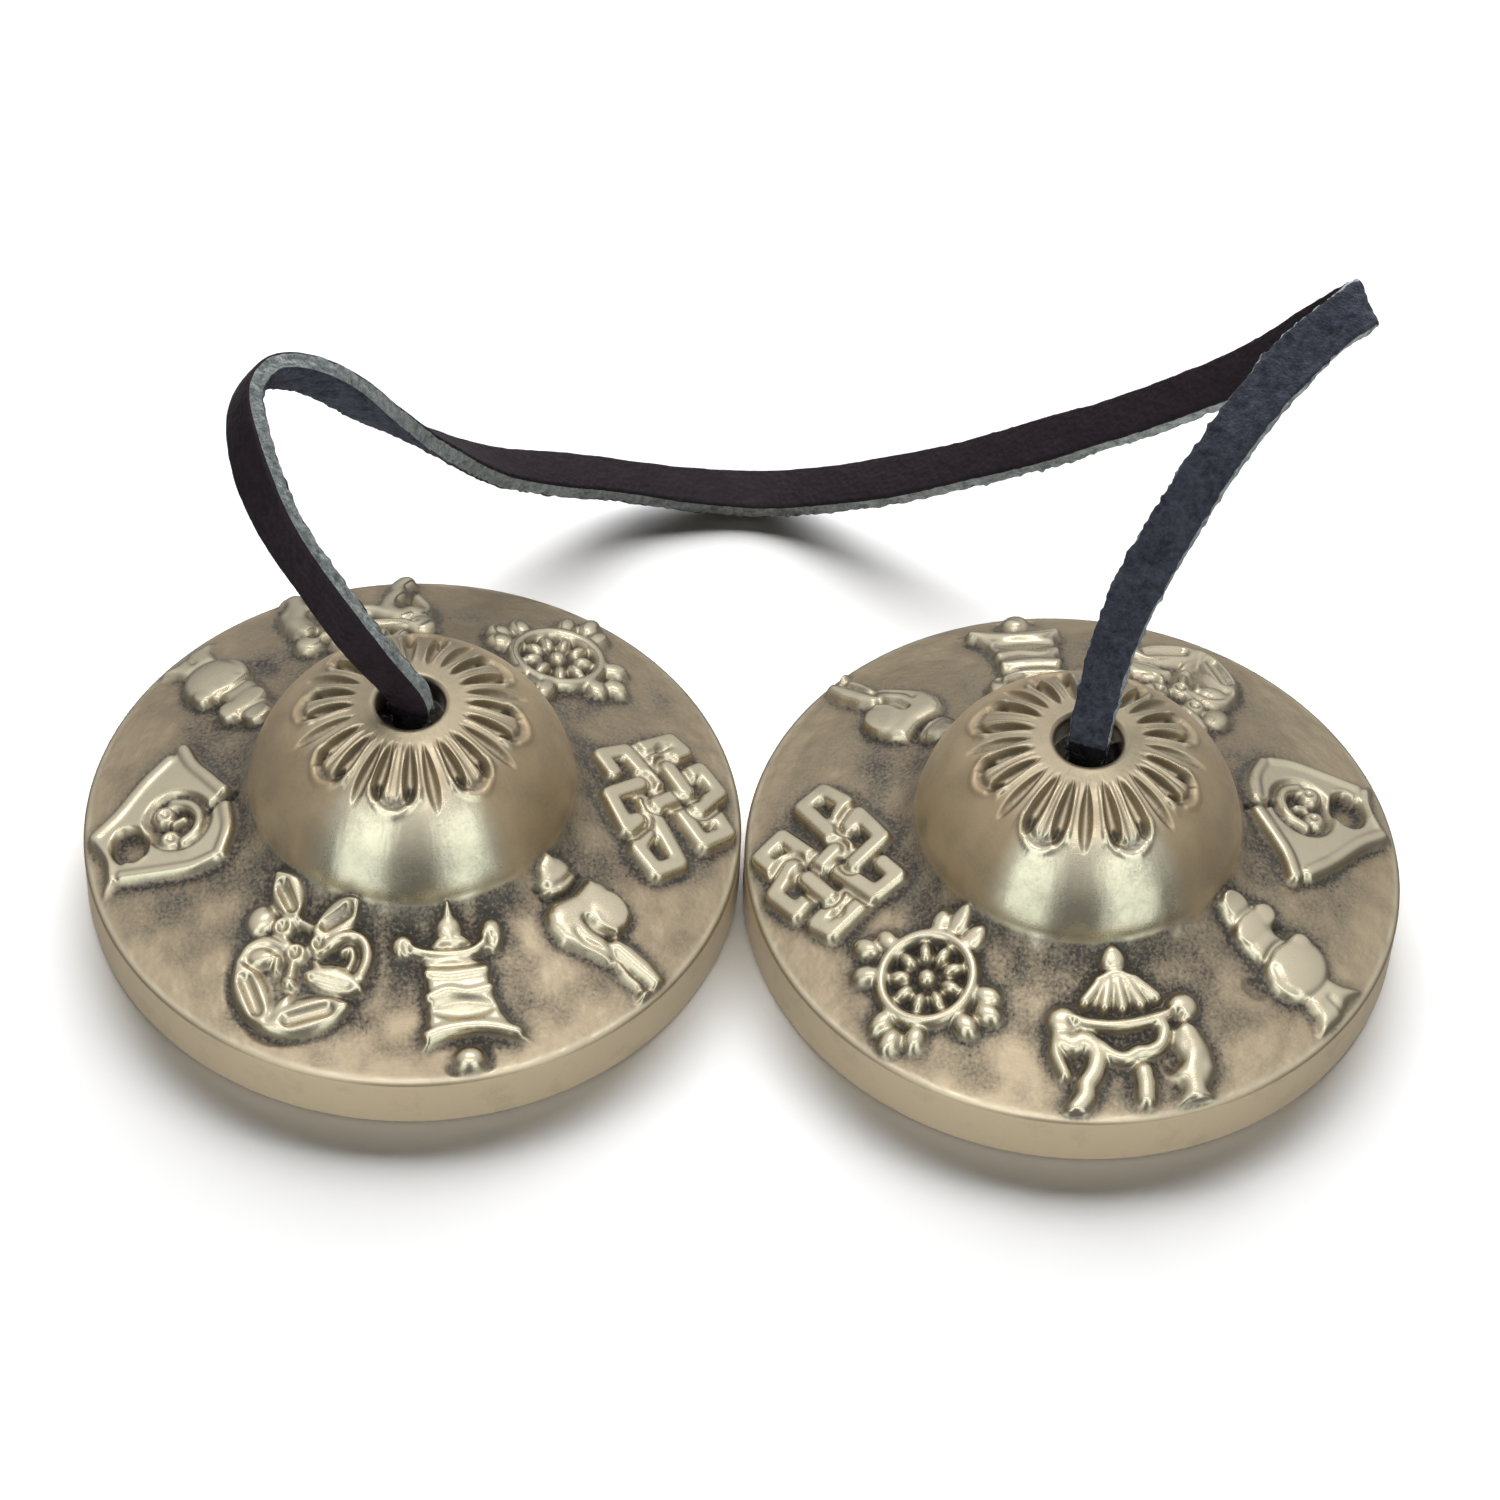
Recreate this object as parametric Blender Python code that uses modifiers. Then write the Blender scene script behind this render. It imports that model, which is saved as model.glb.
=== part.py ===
"""Pair of bronze hand cymbals joined by one leather thong, lying rim down side by side.

Frame: metres, +Z up. The origin is on the table, midway between the two cymbals,
and +X runs from the left cymbal's centre to the right cymbal's centre.
"""

from math import cos, pi, radians, sin, tan

import bmesh
import bpy
from mathutils import Vector

MM = 0.001

# Driving dimensions, in millimetres
OUTER_RADIUS = 35.0
RIM_HEIGHT = 6.5
BOSS_HEIGHT = 26.0
HOLE_RADIUS = 3.6
FLANGE_SLOPE = radians(18)
CYMBAL_GAP = 0.4
STRAP_WIDTH = 5.2
STRAP_THICKNESS = 2.1

# Outer dome of the boss: an elliptical arc about this centre, then a fillet into the flange
DOME_CENTRE = (3.0, 12.1)
DOME_SEMI_AXES = (14.3, 13.9)
DOME_ARC = (radians(82), radians(10))
FILLET_CORNER = (17.5, 12.2)
FILLET_FOOT_RADIUS = 20.2

# Hollow under the boss and flange
REST_FACE_INNER_RADIUS = 29.5
HOLLOW_MOUTH = (15.6, 5.5)
HOLLOW_CENTRE = (3.0, 9.0)
HOLLOW_SEMI_AXES = (10.8, 13.4)
HOLLOW_ARC = (radians(-6), radians(80))

EDGE_ROUND = 0.5
HOLE_LIP = 0.6

CENTRE_X = OUTER_RADIUS + CYMBAL_GAP / 2
PIVOT_Z = 24.3
SWING_CLEARANCE = 1.2

KNOT_CENTRE_Z = 17.6
KNOT_RADII = (5.0, 4.6, 3.9)
TAIL_LENGTH = 5.6
TAIL_SUNK = 1.5
TAIL_LEAN = radians(28)

TURN_STEPS = 72
STATIONS_PER_SPAN = 2

# Route of the thong's middle line from the left hole to the right hole: a place in
# millimetres, and the way its smooth outer face looks there
STRAP_ROUTE = (
    ((-35.2, 0.0, 24.3), (-0.35, -0.93, 0.0)),
    ((-35.5, -0.1, 27.5), (-0.30, -0.95, 0.0)),
    ((-39.7, 0.2, 34.0), (-0.27, -0.96, 0.05)),
    ((-44.5, 2.8, 40.0), (-0.39, -0.90, 0.18)),
    ((-49.1, 6.6, 45.4), (-0.51, -0.80, 0.30)),
    ((-52.0, 11.6, 49.7), (-0.68, -0.57, 0.46)),
    ((-53.0, 16.8, 51.6), (-0.88, -0.05, 0.47)),
    ((-51.6, 20.8, 51.6), (-0.65, 0.59, 0.48)),
    ((-48.6, 24.0, 49.1), (-0.29, 0.84, 0.46)),
    ((-44.9, 27.5, 43.7), (-0.06, 0.89, 0.46)),
    ((-41.1, 31.2, 36.3), (0.18, 0.83, 0.53)),
    ((-36.0, 37.2, 26.3), (0.46, 0.62, 0.63)),
    ((-29.5, 45.5, 14.6), (0.58, 0.33, 0.74)),
    ((-19.0, 53.3, 5.8), (0.46, 0.07, 0.88)),
    ((-7.5, 55.6, 2.3), (0.15, -0.10, 0.98)),
    ((3.0, 55.7, 2.6), (-0.29, -0.14, 0.95)),
    ((16.0, 52.8, 9.0), (-0.55, -0.16, 0.82)),
    ((29.0, 49.2, 18.4), (-0.63, -0.22, 0.74)),
    ((41.8, 46.0, 28.6), (-0.66, -0.29, 0.69)),
    ((51.9, 43.8, 37.9), (-0.69, -0.37, 0.61)),
    ((58.0, 42.7, 45.4), (-0.77, -0.42, 0.49)),
    ((61.5, 41.2, 50.3), (-0.93, -0.36, 0.02)),
    ((60.6, 37.8, 52.6), (-0.44, 0.03, -0.90)),
    ((56.4, 33.0, 52.8), (-0.22, 0.30, -0.93)),
    ((50.8, 25.4, 51.4), (0.03, 0.26, -0.96)),
    ((46.2, 18.8, 48.6), (0.14, 0.43, -0.89)),
    ((42.7, 14.0, 44.7), (0.22, 0.58, -0.78)),
    ((39.4, 9.5, 40.0), (0.23, 0.67, -0.71)),
    ((36.9, 5.0, 34.5), (0.25, 0.80, -0.55)),
    ((35.5, 0.8, 28.2), (0.28, 0.93, -0.20)),
    ((35.2, 0.0, 24.3), (0.28, 0.96, 0.0)),
)

SIDES = (("left", -CENTRE_X), ("right", CENTRE_X))


def clear_scene():
    """Remove every object, and the collections left empty by that."""
    for obj in list(bpy.data.objects):
        bpy.data.objects.remove(obj)
    for collection in list(bpy.data.collections):
        bpy.data.collections.remove(collection)


def new_collection(name):
    collection = bpy.data.collections.new(name)
    bpy.context.scene.collection.children.link(collection)
    return collection


def new_material(name, colour, metallic, roughness):
    material = bpy.data.materials.new(name)
    material.use_nodes = True
    shader = material.node_tree.nodes["Principled BSDF"]
    shader.inputs["Base Color"].default_value = (*colour, 1.0)
    shader.inputs["Metallic"].default_value = metallic
    shader.inputs["Roughness"].default_value = roughness
    material.diffuse_color = (*colour, 1.0)
    return material


def new_object(name, mesh, collection, material, location=(0, 0, 0)):
    obj = bpy.data.objects.new(name, mesh)
    obj.location = location
    if material:
        obj.data.materials.append(material)
    collection.objects.link(obj)
    return obj


def new_empty(name, collection, location):
    empty = bpy.data.objects.new(name, None)
    empty.empty_display_size = 5 * MM
    empty.location = location
    collection.objects.link(empty)
    return empty


def arc(centre, semi_axes, start, end, count):
    """Points of an elliptical arc, both ends included."""
    points = []
    for i in range(count):
        angle = start + (end - start) * i / (count - 1)
        points.append((centre[0] + semi_axes[0] * cos(angle), centre[1] + semi_axes[1] * sin(angle)))
    return points


def bend(start, corner, end, count):
    """Points of a quadratic curve from start to end that leans towards corner."""
    points = []
    for i in range(count):
        t = i / (count - 1)
        points.append(tuple((1 - t) ** 2 * a + 2 * t * (1 - t) * b + t * t * c
                            for a, b, c in zip(start, corner, end)))
    return points


def flange_top(radius):
    return RIM_HEIGHT + (OUTER_RADIUS - radius) * tan(FLANGE_SLOPE)


def cymbal_profile():
    """Closed half section, from the hole's lip down the outside and back up the hollow."""
    lip = arc((HOLE_RADIUS + HOLE_LIP, BOSS_HEIGHT - HOLE_LIP), (HOLE_LIP, HOLE_LIP), pi, pi / 2, 4)
    dome = arc(DOME_CENTRE, DOME_SEMI_AXES, DOME_ARC[0], DOME_ARC[1], 9)
    foot = (FILLET_FOOT_RADIUS, flange_top(FILLET_FOOT_RADIUS))
    fillet = bend(dome[-1], FILLET_CORNER, foot, 6)
    rim_start = (OUTER_RADIUS - EDGE_ROUND, flange_top(OUTER_RADIUS - EDGE_ROUND))
    rim_top = bend(rim_start, (OUTER_RADIUS, RIM_HEIGHT), (OUTER_RADIUS, RIM_HEIGHT - EDGE_ROUND), 4)
    rim_bottom = arc((OUTER_RADIUS - EDGE_ROUND, EDGE_ROUND), (EDGE_ROUND, EDGE_ROUND), 0, -pi / 2, 4)
    hollow = arc(HOLLOW_CENTRE, HOLLOW_SEMI_AXES, HOLLOW_ARC[0], HOLLOW_ARC[1], 8)
    bore = [(HOLE_RADIUS, hollow[-1][1] + HOLE_LIP)]
    return (lip + dome + fillet[1:] + rim_top + rim_bottom
            + [(REST_FACE_INNER_RADIUS, 0.0), HOLLOW_MOUTH] + hollow + bore)


def make_cymbal(side, pivot, collection, material):
    """One cast cymbal: the half section turned about the cymbal's own axis."""
    mesh = bpy.data.meshes.new(side + "_cymbal")
    points = [(r * MM, 0.0, z * MM) for r, z in cymbal_profile()]
    edges = [(i, (i + 1) % len(points)) for i in range(len(points))]
    mesh.from_pydata(points, edges, [])
    obj = new_object(side + "_cymbal", mesh, collection, material)
    obj.parent = pivot
    obj.location = (0, 0, -PIVOT_Z * MM)
    screw = obj.modifiers.new("Turn", "SCREW")
    screw.axis = "Z"
    screw.steps = TURN_STEPS
    screw.render_steps = TURN_STEPS
    screw.use_merge_vertices = True
    screw.merge_threshold = 0.00001
    screw.use_smooth_shade = True
    return obj


def smooth_points(points, per_span):
    """Catmull-Rom curve through the points, with per_span steps between neighbours."""
    ends = [2 * points[0] - points[1]] + points + [2 * points[-1] - points[-2]]
    curve = []
    for i in range(1, len(points)):
        p0, p1, p2, p3 = ends[i - 1:i + 3]
        for step in range(per_span):
            t = step / per_span
            curve.append(0.5 * (2 * p1 + (p2 - p0) * t + (2 * p0 - 5 * p1 + 4 * p2 - p3) * t ** 2
                                + (3 * p1 - p0 - 3 * p2 + p3) * t ** 3))
    return curve + [points[-1]]


def strap_stations():
    """Place and sideways direction of the thong at each station of its route."""
    places = smooth_points([Vector(place) * MM for place, face in STRAP_ROUTE], STATIONS_PER_SPAN)
    faces = smooth_points([Vector(face) for place, face in STRAP_ROUTE], STATIONS_PER_SPAN)
    stations = []
    for i, place in enumerate(places):
        along = (places[min(i + 1, len(places) - 1)] - places[max(i - 1, 0)]).normalized()
        stations.append((place, along.cross(faces[i]).normalized()))
    return stations


def make_strap(collection, material):
    """The thong between the holes: a twisting ribbon with its leather's thickness."""
    half_width = STRAP_WIDTH * MM / 2
    ribbon = bmesh.new()
    rows = []
    for place, sideways in strap_stations():
        rows.append([ribbon.verts.new(place - sideways * half_width),
                     ribbon.verts.new(place + sideways * half_width)])
    for row, following in zip(rows, rows[1:]):
        ribbon.faces.new((row[0], row[1], following[1], following[0]))
    mesh = bpy.data.meshes.new("strap")
    ribbon.to_mesh(mesh)
    ribbon.free()
    obj = new_object("strap", mesh, collection, material)
    solidify = obj.modifiers.new("Leather thickness", "SOLIDIFY")
    solidify.thickness = STRAP_THICKNESS * MM
    solidify.offset = 0.0
    return obj


def make_block(name, collection, size, angles, location):
    """A box of the given size in millimetres, turned about its centre."""
    block = bmesh.new()
    bmesh.ops.create_cube(block, size=1.0)
    bmesh.ops.scale(block, vec=Vector(size) * MM, verts=block.verts)
    mesh = bpy.data.meshes.new(name)
    block.to_mesh(mesh)
    block.free()
    obj = new_object(name, mesh, collection, None, Vector(location) * MM)
    obj.rotation_euler = angles
    return obj


def join_into(target, cutter):
    boolean = target.modifiers.new(cutter.name, "BOOLEAN")
    boolean.operation = "UNION"
    boolean.solver = "EXACT"
    boolean.object = cutter


def make_knot(side, centre_x, pivot, parts, cutters, material):
    """The thong's knotted end inside the boss: neck in the hole, knot under it, cut tail."""
    ball = bmesh.new()
    bmesh.ops.create_uvsphere(ball, u_segments=24, v_segments=14, radius=1.0)
    bmesh.ops.scale(ball, vec=Vector(KNOT_RADII) * MM, verts=ball.verts)
    mesh = bpy.data.meshes.new(side + "_knot")
    ball.to_mesh(mesh)
    ball.free()
    mesh.shade_smooth()
    knot = new_object(side + "_knot", mesh, parts, material)
    knot.parent = pivot
    knot.location = (0, 0, (KNOT_CENTRE_Z - PIVOT_Z) * MM)

    first_face = STRAP_ROUTE[0][1] if centre_x < 0 else STRAP_ROUTE[-1][1]
    turn = Vector((0, 1)).angle_signed(Vector(first_face[:2]), 0.0)
    neck_top = PIVOT_Z - SWING_CLEARANCE
    neck_length = neck_top - KNOT_CENTRE_Z
    neck = make_block(side + "_neck_tool", cutters, (STRAP_WIDTH, STRAP_THICKNESS, neck_length),
                      (0, 0, -turn), (centre_x, 0, neck_top - neck_length / 2))
    drop = KNOT_RADII[2] - TAIL_SUNK + TAIL_LENGTH / 2
    tail = make_block(side + "_tail_tool", cutters, (STRAP_WIDTH, STRAP_THICKNESS, TAIL_LENGTH),
                      (TAIL_LEAN, 0, 0), (centre_x, drop * sin(TAIL_LEAN), KNOT_CENTRE_Z - drop))
    for tool in (neck, tail):
        tool.hide_render = True
        tool.display_type = "WIRE"
        join_into(knot, tool)
    return knot


def main():
    clear_scene()
    parts = new_collection("strap_joined_cymbals")
    cutters = new_collection("cutters")
    bronze = new_material("bronze", (0.42, 0.33, 0.20), 1.0, 0.38)
    leather = new_material("leather", (0.035, 0.028, 0.035), 0.0, 0.7)
    for side, centre_x in SIDES:
        pivot = new_empty(side + "_pivot", parts, (centre_x * MM, 0, PIVOT_Z * MM))
        make_cymbal(side, pivot, parts, bronze)
        make_knot(side, centre_x, pivot, parts, cutters, leather)
    make_strap(parts, leather)


main()
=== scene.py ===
"""Looks of two cast bronze hand cymbals joined by one leather thong.

Each cymbal has eight raised signs round its flange and a ring of petals cut into its boss. The
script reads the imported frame, builds a fine mesh for each of its five pieces and lights them.
"""
from math import atan2, cos, degrees, pi, radians, sin, tan

import bmesh
import bpy
import numpy as np
from mathutils import Matrix, Vector


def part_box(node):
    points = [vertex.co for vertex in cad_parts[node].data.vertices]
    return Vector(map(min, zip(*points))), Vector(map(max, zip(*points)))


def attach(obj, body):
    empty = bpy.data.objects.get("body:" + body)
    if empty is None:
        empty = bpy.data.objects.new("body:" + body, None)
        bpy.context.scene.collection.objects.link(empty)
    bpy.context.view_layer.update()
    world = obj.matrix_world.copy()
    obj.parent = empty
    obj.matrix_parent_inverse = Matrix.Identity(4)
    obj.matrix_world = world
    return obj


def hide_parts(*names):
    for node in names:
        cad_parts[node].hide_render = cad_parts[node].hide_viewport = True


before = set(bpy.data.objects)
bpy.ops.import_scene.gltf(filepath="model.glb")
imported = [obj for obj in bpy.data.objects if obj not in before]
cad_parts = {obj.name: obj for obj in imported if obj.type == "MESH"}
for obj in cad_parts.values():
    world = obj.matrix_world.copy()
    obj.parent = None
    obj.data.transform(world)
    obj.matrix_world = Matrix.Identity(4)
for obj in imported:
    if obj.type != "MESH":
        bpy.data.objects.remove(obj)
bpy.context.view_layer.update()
MM = 0.001

# ---------------------------------------------------------------- sizes, in millimetres

LEFT_LOW, LEFT_HIGH = (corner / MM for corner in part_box("left_cymbal"))
RIGHT_LOW, RIGHT_HIGH = (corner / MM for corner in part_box("right_cymbal"))
OUTER_RADIUS = (LEFT_HIGH.x - LEFT_LOW.x) / 2
BOSS_HEIGHT = LEFT_HIGH.z
CENTRE_X = {"left": (LEFT_LOW.x + LEFT_HIGH.x) / 2, "right": (RIGHT_LOW.x + RIGHT_HIGH.x) / 2}

# The half section of a cymbal, as distances from its axis and heights above the table
RIM_HEIGHT = 6.5
HOLE_RADIUS = 3.6
HOLE_LIP = 0.6
EDGE_ROUND = 0.5
FLANGE_SLOPE = radians(18)
DOME_CENTRE = (3.0, 12.1)
DOME_SEMI_AXES = (14.3, 13.9)
FILLET_CORNER = (17.5, 12.2)
FILLET_FOOT_RADIUS = 20.2
REST_FACE_INNER_RADIUS = 29.5
HOLLOW_MOUTH = (15.6, 5.5)
HOLLOW_CENTRE = (3.0, 9.0)
HOLLOW_SEMI_AXES = (10.8, 13.4)

# Steps round each cymbal, and the distance between rings of points across the flange
TURN_STEPS = 960
RELIEF_STEP = 0.17

# Distances from a cymbal's axis: where the petals start to fade into the smooth boss and where
# they end, from where signs stand, where the cast field starts, and where the metal of the boss
# ends and the dark ring round its foot, partly patina and partly painted shade, is darkest
PETALS_FADE_FROM = 10.4
PETALS_TO = 13.4
SIGNS_FROM = 16.2
FIELD_FROM = 17.3
BOSS_FOOT = 17.8
BOSS_FOOT_PATINA_AND_SHADE = 18.7

# Front of the boss, paler with a painted highlight and polished smooth: its middle in degrees
# and its reach as a turn
FRONT_HIGHLIGHT_BEARING = 273
FRONT_HIGHLIGHT_REACH = radians(44)

# Signs are worn to half of what stands above the first height, and none is sunk past the second
WORN_FROM = 1.2
DEEPEST_SINK = 0.9

# Petals: bearing of the first in degrees, distance from the axis where its paired cuts start,
# depth of its round tip, then the half width of a paired cut, the distance and half width of
# its raised rim, all three as turns, and last the single cut between neighbours
FIRST_PETAL = {"left": 267, "right": 247}
PETAL_START = 5.9
TIP_DEPTH = 1.6
ARM_HALF_TURN = radians(4.6)
RIM_TURN = radians(5.2)
RIM_HALF_TURN = radians(2.0)
SINGLE_CUT_START = 6.1
SINGLE_CUT_LENGTH = 6.3
SINGLE_CUT_HALF_TURN = radians(4.0)

# The thong: height of its ends in the holes, its width and thickness, how round its corners are,
# how far from its middle its two flat faces give way to the cut edges, and the knots' height
PIVOT_Z = 24.3
STRAP_WIDTH = 5.2
STRAP_THICKNESS = 2.1
STRAP_CORNER = 0.3
FLAT_TO = STRAP_THICKNESS / 2 - 0.22
KNOT_CENTRE_Z = 17.6

# The holes squeeze the thong: it is narrower there by this share, easing off over this length
PINCH = 0.18
PINCH_REACH = 16.0

# The knot: how far its strand swings sideways, frontways and upright, and how wide it is folded
KNOT_STRETCH = (1.5, 1.0, -0.36)
KNOT_STRAND_WIDTH = 4.0

# ---------------------------------------------------------------- view and light, in metres

CAMERA_AIM = (0.0002, 0.0185, 0.0)
CAMERA_DISTANCE = 0.525
LAMP_AIM = (0.0, 0.02, 0.015)

# The way towards the brightest part of the surroundings
BRIGHT_SIDE = (0.0, 0.16, 0.98)

WHITE, COOL = (1.0, 1.0, 1.0), (0.88, 1.0, 1.0)

# Each lamp: bearing and elevation in degrees, distance, width and height, power, tint, and
# whether it lights the matt surfaces or only shows as a reflection
LAMPS = (
    ("key_behind", 90, 39, 1.3, (1.6, 0.95), 46.0, WHITE, True),
    ("fill_in_front", 270, 3, 0.8, (1.0, 0.08), 6.2, WHITE, True),
    ("front_high", 270, 63, 0.9, (0.7, 0.16), 1.1, WHITE, False),
    ("overhead", 90, 83, 0.9, (0.5, 0.22), 1.2, WHITE, False),
    ("front_left", 241, 8, 0.8, (0.42, 1.2), 2.7, COOL, False),
    ("front_right", 306, 8, 0.8, (0.44, 1.2), 2.8, COOL, False),
)

# Each face of the leather: two colours, roughness, specular level, and the scales of its grain
# cells and of its fibres
LEATHERS = (
    ("leather_grain", (0.006, 0.0032, 0.005), (0.014, 0.008, 0.012), 0.5, 0.16, 1500, 900),
    ("leather_suede", (0.016, 0.018, 0.026), (0.062, 0.068, 0.088), 0.9, 0.1, 3000, 1500),
    ("leather_cut_edge", (0.10, 0.12, 0.12), (0.32, 0.35, 0.34), 0.95, 0.1, 3000, 1800),
)


# ---------------------------------------------------------------- the thong's route

# Route of the thong's middle line from the left hole to the right hole: a place in millimetres,
# and the way its smooth grain side looks there
STRAP_ROUTE = (
    ((-35.2, 0.0, 24.3), (-0.35, -0.93, 0.0)),
    ((-35.5, -0.1, 27.5), (-0.30, -0.95, 0.0)),
    ((-39.7, 0.2, 34.0), (-0.27, -0.96, 0.05)),
    ((-44.5, 2.8, 40.0), (-0.39, -0.90, 0.18)),
    ((-49.1, 6.6, 45.4), (-0.51, -0.80, 0.30)),
    ((-52.0, 11.6, 49.7), (-0.68, -0.57, 0.46)),
    ((-53.0, 16.8, 51.6), (-0.88, -0.05, 0.47)),
    ((-51.6, 20.8, 51.6), (-0.65, 0.59, 0.48)),
    ((-48.6, 24.0, 49.1), (-0.29, 0.84, 0.46)),
    ((-44.9, 27.5, 43.7), (-0.06, 0.89, 0.46)),
    ((-41.1, 31.2, 36.3), (0.18, 0.83, 0.53)),
    ((-36.0, 37.2, 26.3), (0.46, 0.62, 0.63)),
    ((-29.5, 45.5, 14.6), (0.58, 0.33, 0.74)),
    ((-19.0, 53.3, 5.8), (0.46, 0.07, 0.88)),
    ((-7.5, 55.6, 2.3), (0.15, -0.10, 0.98)),
    ((3.0, 55.7, 2.6), (-0.29, -0.14, 0.95)),
    ((16.0, 52.8, 9.0), (-0.55, -0.16, 0.82)),
    ((29.0, 49.2, 18.4), (-0.63, -0.22, 0.74)),
    ((41.8, 46.0, 28.6), (-0.66, -0.29, 0.69)),
    ((51.9, 43.8, 37.9), (-0.69, -0.37, 0.61)),
    ((58.0, 42.7, 45.4), (-0.77, -0.42, 0.49)),
    ((61.5, 41.2, 50.3), (-0.93, -0.36, 0.02)),
    ((60.6, 37.8, 52.6), (-0.44, 0.03, -0.90)),
    ((56.4, 33.0, 52.8), (-0.22, 0.30, -0.93)),
    ((50.8, 25.4, 51.4), (0.03, 0.26, -0.96)),
    ((46.2, 18.8, 48.6), (0.14, 0.43, -0.89)),
    ((42.7, 14.0, 44.7), (0.22, 0.58, -0.78)),
    ((39.4, 9.5, 40.0), (0.23, 0.67, -0.71)),
    ((36.9, 5.0, 34.5), (0.25, 0.80, -0.55)),
    ((35.5, 0.8, 28.2), (0.28, 0.93, -0.20)),
    ((35.2, 0.0, 24.3), (0.28, 0.96, 0.0)),
)


# ---------------------------------------------------------------- curves

def arc(centre, semi_axes, start, end, count=24):
    """Points of an elliptical arc, both ends included."""
    angles = np.linspace(start, end, count)
    return np.stack([centre[0] + semi_axes[0] * np.cos(angles),
                     centre[1] + semi_axes[1] * np.sin(angles)], axis=1)


def bend(start, corner, end, count=12):
    """Points of a quadratic curve from start to end that leans towards corner."""
    start, corner, end = np.array(start), np.array(corner), np.array(end)
    t = np.linspace(0, 1, count)[:, None]
    return (1 - t) ** 2 * start + 2 * t * (1 - t) * corner + t ** 2 * end


def smooth_line(points, per_span=6):
    """Catmull-Rom curve through the points."""
    points = np.array(points, float)
    ends = np.vstack([2 * points[0] - points[1], points, 2 * points[-1] - points[-2]])
    t = np.linspace(0, 1, per_span, endpoint=False)[:, None]
    spans = []
    for p0, p1, p2, p3 in zip(ends, ends[1:], ends[2:], ends[3:]):
        spans.append(0.5 * (2 * p1 + (p2 - p0) * t + (2 * p0 - 5 * p1 + 4 * p2 - p3) * t ** 2
                            + (3 * p1 - p0 - 3 * p2 + p3) * t ** 3))
    return np.vstack(spans + [points[-1:]])


def evenly(points, step):
    """The same polyline with its points about step apart, both ends kept."""
    points = np.array(points, float)
    along = np.concatenate([[0], np.cumsum(np.linalg.norm(np.diff(points, axis=0), axis=1))])
    places = np.linspace(0, along[-1], max(2, int(round(along[-1] / step)) + 1))
    return np.stack([np.interp(places, along, column) for column in points.T], axis=1)


def rise(x, start, length):
    """0 up to start, then straight up to 1 over the length."""
    return np.clip((x - start) / length, 0, 1)


def fall(x, end, length):
    """1, then straight down over the length to 0 at end."""
    return np.clip((end - x) / length, 0, 1)


def lens(x, start, length):
    """Swells from 0 at start to 1 halfway and shrinks to 0 again, with blunt ends."""
    return np.sin(pi * rise(x, start, length)) ** 0.5


def turn_from(bearing, degrees_there):
    """Turn from a bearing in degrees to each bearing in radians, between -pi and pi."""
    return (bearing - radians(degrees_there) + pi) % (2 * pi) - pi


def crown(x):
    """Rises from 0 at x = 0 to 1 at x = 1 as a quarter circle does."""
    return np.sqrt(1 - (1 - np.clip(x, 0, 1)) ** 2)


def blurred(field, passes):
    """The field smoothed along both its axes; the second axis is closed on itself."""
    for _ in range(passes):
        field = (np.roll(field, 1, 1) + 2 * field + np.roll(field, -1, 1)) / 4
        padded = np.pad(field, ((1, 1), (0, 0)), "edge")
        field = (padded[:-2] + 2 * field + padded[2:]) / 4
    return field


def add_object(mesh):
    """The mesh as an object of its own name in the scene."""
    obj = bpy.data.objects.new(mesh.name, mesh)
    bpy.context.scene.collection.objects.link(obj)
    return obj


# ---------------------------------------------------------------- relief of one sign

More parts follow.
